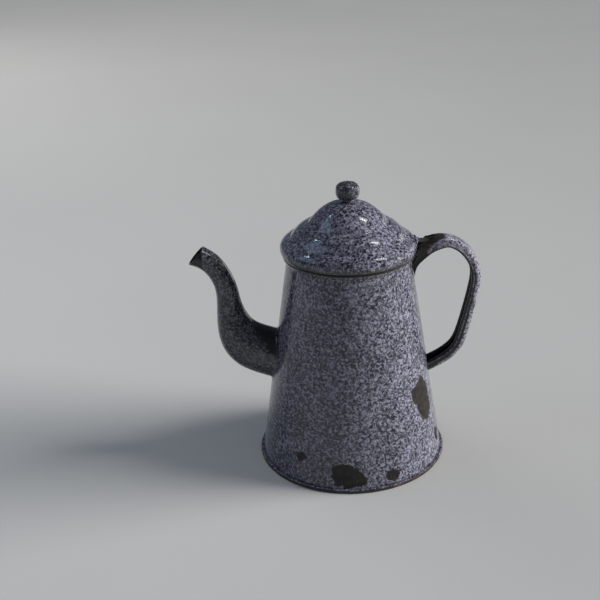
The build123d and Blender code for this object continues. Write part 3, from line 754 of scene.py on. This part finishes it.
def spout_half(side, name, node, material):
    """One pressed half of the gooseneck with a rolled lip at its beak."""
    rows, columns = 220, 72
    outer = to_wall(spout_grid(side, 0.0, 600, columns), rows, 3.2, 0.12)
    inner = to_wall(spout_grid(side, SPOUT_SHEET, 600, columns), rows, 0.0, 0.0)
    mouth = SPOUT_LINE[-1]
    climb = math.radians(mouth[2])
    forward = np.array([-math.cos(climb), 0, math.sin(climb)])
    middle = (outer[0] + inner[0]) / 2
    half = (outer[0] - inner[0]) / 2
    round_lip = np.linspace(math.pi / 2, 0.25, 6)
    lip = [middle + half * math.cos(a) + forward * 0.55 * math.sin(a) for a in round_lip]
    lip_in = [middle - half * math.cos(a) + forward * 0.55 * math.sin(a) for a in round_lip]
    outer = np.concatenate([np.array(lip), outer])
    inner = np.concatenate([np.array(lip_in), inner])
    points, faces, used = thick_sheet(outer, inner)
    outside = np.array(used) < outer.shape[0] * columns
    x, z = points[:, 0], points[:, 2]
    gap = cone_gap(points)
    # black rim trim at the beak, widened into painted shade that stands for the mouth's dark inside
    beak = fade(x, -120.2, -122.0) * TRIM_BLACK_AND_PAINTED_SHADE
    # darker towards the wall along the root, most on its upper side
    root = fade(gap, 24.0, 0.0) ** 0.8 * np.clip((z - 84.0) / 22.0, 0.1, 1) * 0.62
    crotch = fade(gap, 33.0, 3.0) * fade(z - gap * 0.6, 88.0, 108.0) * 1.25
    trim_and_painted_shade = np.where(outside, np.maximum(np.maximum(beak, crotch), root), TRIM_SPOUT_INSIDE)
    mesh_piece(name, points, faces, material, "pot", [node], {"trim_and_painted_shade": trim_and_painted_shade})


# ---------------------------------------------------------------- handle
def strap_section(depth, thickness):
    """Half of the strap's cross-section from the crown's middle to the curled edge, as (y, inwards)."""
    half = HANDLE_W / 2
    curl = STRAP_CURL_R
    crown = [(y, 0.35 * (y / half) ** 2) for y in np.linspace(0, HANDLE_SLOT_W / 2, 4)]
    corner = [(half - HANDLE_CROWN_R * (1 - math.sin(a)), HANDLE_CROWN_R * (1 - math.cos(a)))
              for a in np.linspace(0.45, math.pi / 2, 8)]
    bead = depth - curl - 0.7
    down = np.r_[np.linspace(HANDLE_CROWN_R, bead - 0.8, 4)[1:], np.linspace(bead - 0.5, depth - curl, 6)]
    run = [(half + 0.5 * math.exp(-((v - bead) / 0.4) ** 2), v) for v in down]
    roll = [(half - curl + curl * math.cos(a), depth - curl + curl * math.sin(a))
            for a in np.linspace(0, math.radians(215), 12)[1:]]
    line = np.array(crown + corner + run + roll)
    return offset(line[:, ::-1], thickness)[:, ::-1] if thickness else line


def strap_grids(stations):
    """Outer and inner surface of the strap, how deep each outer point lies, and where its flare ends."""
    crown = cubic(HANDLE_LINE, np.linspace(0, 1, stations))
    slope = np.gradient(crown[:, :2], axis=0)
    slope /= np.linalg.norm(slope, axis=1)[:, None]
    inner_line = crown[:, :2] + np.c_[slope[:, 1], -slope[:, 0]] * crown[:, 2:3]
    tail = (wall_radius(HANDLE_TAIL_Z) + 0.2, HANDLE_TAIL_Z)
    first = int(np.argmax(crown[:, 0] > 82))
    flare = cubic([tail, *HANDLE_FLARE, tuple(inner_line[first])], np.linspace(0, 1, first + 1))
    inner_line[: first + 1] = flare
    front = cubic(np.array([tuple(crown[0, :2]), *HANDLE_HEAD, tail]), np.linspace(0, 1, 60))
    t = np.linspace(0, 1, 60)[:, None]
    grids = []
    depths = []
    for thickness in (0.0, STRAP_SHEET):
        rows = []
        for i in range(stations):
            pull = max(0.0, 1 - i / (first * 0.5)) ** 2
            path = crown[i, :2] * (1 - t) + inner_line[i] * t
            path = path + pull * (front - (front[0] * (1 - t) + front[-1] * t))
            length = lengths(path)
            half = strap_section(length[-1], thickness)
            section = np.concatenate([half[:0:-1] * (-1, 1), half])
            x = np.interp(section[:, 1], length, path[:, 0])
            z = np.interp(section[:, 1], length, path[:, 1])
            rows.append(np.c_[x, section[:, 0], z])
            if thickness == 0:
                depths.append(section[:, 1])
        grids.append(np.array(rows))
    return *grids, np.array(depths), first


def strap_trim_and_painted_highlight(share, deep):
    """Wear of the strap by its share of the length and the depth on its side; the bead is left pale as a
    painted highlight line.
    """
    full = deep.max(axis=1)[:, None]
    share = share[:, None]
    run = fade(share, 0.26, 0.39)
    flank = fade(deep, 3.4, 5.1) * run * TRIM_BLACK_AND_PAINTED_SHADE
    root = fade(share + 0.055 * fade(deep, 0, 6), 0.155, 0.10) * TRIM_WORN
    tail_end = fade(share, 0.87, 0.92) * np.clip((deep - 1.5) / 1.5, 0.3, 1) * 1.4
    low_edge = fade(deep / full, 0.74, 0.84) * 0.62
    # painted highlight: the bead is kept clear of wear and black, so its pale flecks stand for the light
    # line along the curl
    bead = np.clip(1.4 - np.abs(deep - full + 2.0) / 0.5, 0, 1) * run
    return np.maximum(np.maximum(flank, root), np.maximum(low_edge, tail_end)) * (1 - bead)


def handle_strap(material):
    """Bent channel strap with curled edges and a forked head; its sides run down the wall."""
    stations = 260
    share = np.linspace(0, 1, stations)
    outer, inner, deep, first = strap_grids(stations)
    middle = outer.shape[1] // 2
    gap = cone_gap(outer[:, middle])
    last = int(np.argmax((gap < 8) & (share > 0.6)))
    for grid in (outer, inner):
        land_on_wall(grid, last)
    cells = (outer[:-1, :-1] + outer[1:, 1:]) / 2
    columns = np.arange(outer.shape[1] - 1)
    in_slot = (columns >= middle - 3) & (columns < middle + 3)
    near_head = (np.arange(stations - 1) < first)[:, None]
    keep = ~((cells[:, :, 0] < HANDLE_SLOT_END_X) & in_slot[None, :] & near_head)
    points, faces, used = thick_sheet(outer, inner, keep)
    trim_and_painted_shade = strap_trim_and_painted_highlight(share, deep)
    trim_and_painted_shade = np.r_[trim_and_painted_shade.ravel(), np.full(trim_and_painted_shade.size, TRIM_STRAP_INSIDE)][used]
    mesh_piece("handle_strap", points, faces, material, "pot", ["handle"], {"trim_and_painted_shade": trim_and_painted_shade})


def land_on_wall(grid, last):
    """Ends every lengthwise line of the strap's low end on the pot's wall."""
    for j in range(grid.shape[1]):
        column = grid[last:, j].copy()
        gap = cone_gap(column)
        if not (gap < 0).any():
            continue
        inside = int(np.argmax(gap < -0.3))
        before = max(inside - 1, 0)
        t = (gap[before] + 0.3) / (gap[before] - gap[inside]) if inside else 0.0
        end = column[before] * (1 - t) + column[inside] * t
        kept = np.array([*column[:inside], end])
        length = lengths(kept)
        spacing = np.linspace(0, length[-1], len(column))
        for axis in range(3):
            grid[last:, j, axis] = np.interp(spacing, length, kept[:, axis])


def turned_piece(profile, origin, axis, segments=48):
    """Points and faces of a spun outline whose axis runs from origin along axis."""
    points, faces = turned(profile, segments)
    turn = Vector((0, 0, 1)).rotation_difference(Vector(axis)).to_matrix()
    flat = points.reshape(-1, 3) @ np.array(turn).T + np.array(origin)
    return flat, faces


def joined(parts):
    """Points and faces of several pieces as one."""
    points, faces = [], []
    for piece_points, piece_faces in parts:
        start = sum(len(p) for p in points)
        points.append(piece_points)
        faces += [tuple(v + start for v in f) for f in piece_faces]
    return np.concatenate(points), faces


def hinge_pin(material):
    """Pin with peened heads."""
    half = HANDLE_W / 2
    corners = [
        (0, -half - 1.3, 0),
        (2.5, -half - 1.1, 1.1),
        (2.5, -half, 0.3),
        (HINGE_PIN_R, -half, 0.1),
        (HINGE_PIN_R, half, 0.1),
        (2.5, half, 0.3),
        (2.5, half + 1.1, 1.1),
        (0, half + 1.3, 0),
    ]
    points, faces = turned_piece(rounded(corners, 1.5), (HINGE_X, 0, HINGE_Z), (0, 1, 0))
    mesh_piece("hinge_pin_peened", points, faces, material, "pot", ["hinge_pin"])


# ---------------------------------------------------------------- lid
def lid_profile():
    """Outer line of the lid from the axis down its three tiers to the rim."""
    line = [cubic(LOWER_TIER, np.linspace(0, 1, 26))]
    for tier in (MIDDLE_TIER, UPPER_TIER):
        crease = (line[-1][-1] * 0.6 + np.array(tier[0]) * 0.4) - (0.1, 0.7)
        share = np.linspace(0, 1, 26)
        bulge = 0.55 * np.sin(math.pi * share)[:, None] * (0.5, 0.85)
        line += [[crease], cubic(tier, share) + bulge]
    line = np.concatenate([*line, [(0.0, LID_TOP_Z)]])
    smooth = line.copy()
    smooth[1:-1] = smooth[1:-1] * 0.6 + (smooth[:-2] + smooth[2:]) * 0.2
    return smooth


def lid_cover(material):
    """Three-tier dome with a rolled-in rim."""
    outer = lid_profile()
    inner = offset(outer, -SHEET)
    inner[-1] = (0.0, LID_TOP_Z - SHEET)
    inner[0] = (outer[0, 0] - SHEET, outer[0, 1])
    rim = [(outer[0, 0] - 0.25, outer[0, 1] - 0.05), (outer[0, 0] - 0.6, outer[0, 1] - 0.15),
           (outer[0, 0] - 0.95, outer[0, 1] - 0.05)]
    profile = np.concatenate([outer[::-1], rim, inner])
    grid, faces = turned(profile, 384)
    flat = grid.reshape(-1, 3)
    radius = np.hypot(flat[:, 0], flat[:, 1])
    flat[:, 2] += waves(flat, 26.0, 0.14) * fade(radius, 52, 32)
    height = flat[:, 2]
    trim_and_painted_shade = fade(height, 191.6, 187.6) * 0.52 * (radius > 50)
    # painted shadow: the rim's lowest millimetre is black for the gap where the lid sits on the pot
    trim_and_painted_shade = np.maximum(trim_and_painted_shade, np.where(height < 186.0, TRIM_BLACK_AND_PAINTED_SHADE, 0))
    # painted shade: the enamel is darkened along the creases between the tiers
    for tier in (MIDDLE_TIER, UPPER_TIER):
        crease = fade(np.abs(radius - tier[0][0] - 0.4), 1.0, 0.0) * 0.42
        trim_and_painted_shade = np.maximum(trim_and_painted_shade, crease)
    mesh_piece("lid_cover", flat, faces, material, "lid", ["lid_shell"], {"trim_and_painted_shade": trim_and_painted_shade})


def lid_collar(material):
    """Skirt that drops into the mouth."""
    top = MOUTH_Z + 0.3 + 1.0
    corners = [
        (SKIRT_R_TOP, top, 0.8),
        (54.4, top, 0.1),
        (54.4, top + SKIRT_SHEET, 0.1),
        (SKIRT_R_TOP - SKIRT_SHEET, top + SKIRT_SHEET, 1.5),
        (SKIRT_R_END - SKIRT_SHEET, SKIRT_END_Z, 0.35),
        (SKIRT_R_END, SKIRT_END_Z, 0.35),
    ]
    grid, faces = turned(rounded(corners, 1.2), 256)
    flat = grid.reshape(-1, 3)
    trim_and_painted_shade = np.where(flat[:, 2] < SKIRT_END_Z + 1.5, 0.7, 0.3)
    mesh_piece("lid_collar", flat, faces, material, "lid", ["lid_skirt"], {"trim_and_painted_shade": trim_and_painted_shade})


def knob_ball(material):
    """Flattened ball on a short neck."""
    middle = (KNOB_LOW_Z + KNOB_TOP_Z) / 2
    half = (KNOB_TOP_Z - KNOB_LOW_Z) / 2
    turn = np.radians(np.linspace(90, -72, 60))
    fat = 2.9
    r = KNOB_R * np.abs(np.cos(turn)) ** (2 / fat)
    z = middle + half * np.sign(np.sin(turn)) * np.abs(np.sin(turn)) ** (2 / fat)
    ball = np.c_[r, z]
    foot = [(KNOB_NECK_R, KNOB_LOW_Z - 0.1), (KNOB_NECK_R, LID_TOP_Z + 0.4),
            (KNOB_NECK_R + 0.6, LID_TOP_Z + 0.02), (0, LID_TOP_Z + 0.02)]
    ball[0] = (0, KNOB_TOP_Z)
    grid, faces = turned(np.concatenate([ball, foot]), 128)
    flat = grid.reshape(-1, 3)
    flat += waves(flat, 6.0, 0.05)[:, None] * (flat - (0, 0, middle)) / KNOB_R
    mesh_piece("knob_ball", flat, faces, material, "lid", ["knob"])


def hinge_strip(material):
    """Leaf riveted to the lid's shoulder, its end curled round the pin."""
    over = cubic([*LEAF_LINE, (HINGE_X, HINGE_Z + KNUCKLE_R)], np.linspace(0, 1, 40))
    curl = [(HINGE_X + KNUCKLE_R * math.sin(a), HINGE_Z + KNUCKLE_R * math.cos(a))
            for a in np.linspace(0, math.radians(300), 40)[1:]]
    line = np.concatenate([over, curl])
    half = LEAF_W / 2
    y = np.r_[-half, -half + 0.25, np.linspace(-half + 0.8, half - 0.8, 7), half - 0.25, half]
    drop = np.r_[0.35, 0.08, np.zeros(7), 0.08, 0.35]
    upper, lower = [], []
    for yy, d in zip(y, drop):
        top, under = offset(line, d), offset(line, LEAF_T - d * 0.6)
        upper.append(np.c_[top[:, 0], np.full(len(line), yy), top[:, 1]])
        lower.append(np.c_[under[:, 0], np.full(len(line), yy), under[:, 1]])
    points, faces = thick_sheet(np.array(upper), np.array(lower))[:2]
    trim_and_painted_shade = fade(points[:, 0], 56.5, 59.0) * TRIM_WORN
    mesh_piece("hinge_strip", points, faces, material, "lid", ["hinge_leaf"],
               {"trim_and_painted_shade": trim_and_painted_shade})


def rivet_heads(material):
    """Two domed rivets through leaf and lid."""
    (x0, z0), (x1, z1) = LOWER_TIER[2:4]
    tilt = math.atan2(z1 - z0, x0 - x1)
    axis = (math.sin(tilt), 0, math.cos(tilt))
    corners = [(0, 2.15, 0), (1.3, 2.1, 0.9), (2.1, 1.5, 0.2), (1.28, 1.4, 0),
               (1.28, -2.2, 0), (2.1, -2.25, 0.2), (1.4, -2.9, 0.7), (0, -3.0, 0)]
    parts = []
    for side in (-1, 1):
        origin = ((x0 + x1) / 2, side * LEAF_RIVET_Y, (z0 + z1) / 2)
        parts.append(turned_piece(rounded(corners, 0.5), origin, axis))
    points, faces = joined(parts)
    mesh_piece("hinge_rivet_heads", points, faces, material, "lid", ["hinge_rivets"])


# ---------------------------------------------------------------- put together
def main():
    """Camera, studio, the pieces and the materials of the shown CAD nodes."""
    camera()
    studio()
    navy, lavender = srgb(19, 20, 30), srgb(134, 133, 150)
    mottled = enamel_material("mottled_enamel", navy, lavender, 0.515, 0.0, (40, 37, 34))
    lid = enamel_material("mottled_enamel_lid", navy, lavender, 0.52, 0.31, (58, 53, 45), (96, 70, 48))
    spout = enamel_material("mottled_enamel_spout", srgb(19, 20, 23), srgb(112, 111, 118), 0.53, 0.17,
                            (24, 24, 24), (40, 37, 34))
    handle = enamel_material("handle_enamel", srgb(20, 20, 25), srgb(152, 149, 165), 0.49, 0.53,
                             (33, 29, 26), (46, 38, 32))
    knob = enamel_material("knob_enamel", srgb(9, 10, 12), srgb(112, 112, 125), 0.58, 0.71)
    dark = enamel_material("dark_enamel", srgb(22, 22, 25), srgb(96, 94, 100), 0.60, 0.93)
    foot = enamel_material("dark_enamel_foot", navy, lavender, 0.53, 0.93, (36, 31, 27), (92, 68, 50))
    steel = steel_material("bare_steel", srgb(150, 148, 144), 0.50)
    pin_steel = steel_material("dark_pin_steel", srgb(58, 54, 50), 0.46)
    aluminium = aluminium_material()

    wall = pot_shell(mottled)
    punch_strainer(wall)
    pot_bottom(foot)
    spout_half(-1, "spout_pressing_near", "spout_near_half", spout)
    spout_half(1, "spout_pressing_far", "spout_far_half", spout)
    handle_strap(handle)
    hinge_pin(pin_steel)
    lid_cover(lid)
    lid_collar(dark)
    knob_ball(knob)
    hinge_strip(lid)
    rivet_heads(lid)
    for node in ("knob_rivet", "knob_washer"):
        own_material(node, steel)
    for node in ("pump_tube", "pump_foot", "valve_seat", "valve_disc", "tube_collar", "coffee_basket",
                 "basket_sleeve", "spreader_lid"):
        own_material(node, aluminium)


def own_material(node, material):
    """Gives a shown CAD node its material."""
    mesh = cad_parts[node].data
    mesh.materials.clear()
    mesh.materials.append(material)


main()
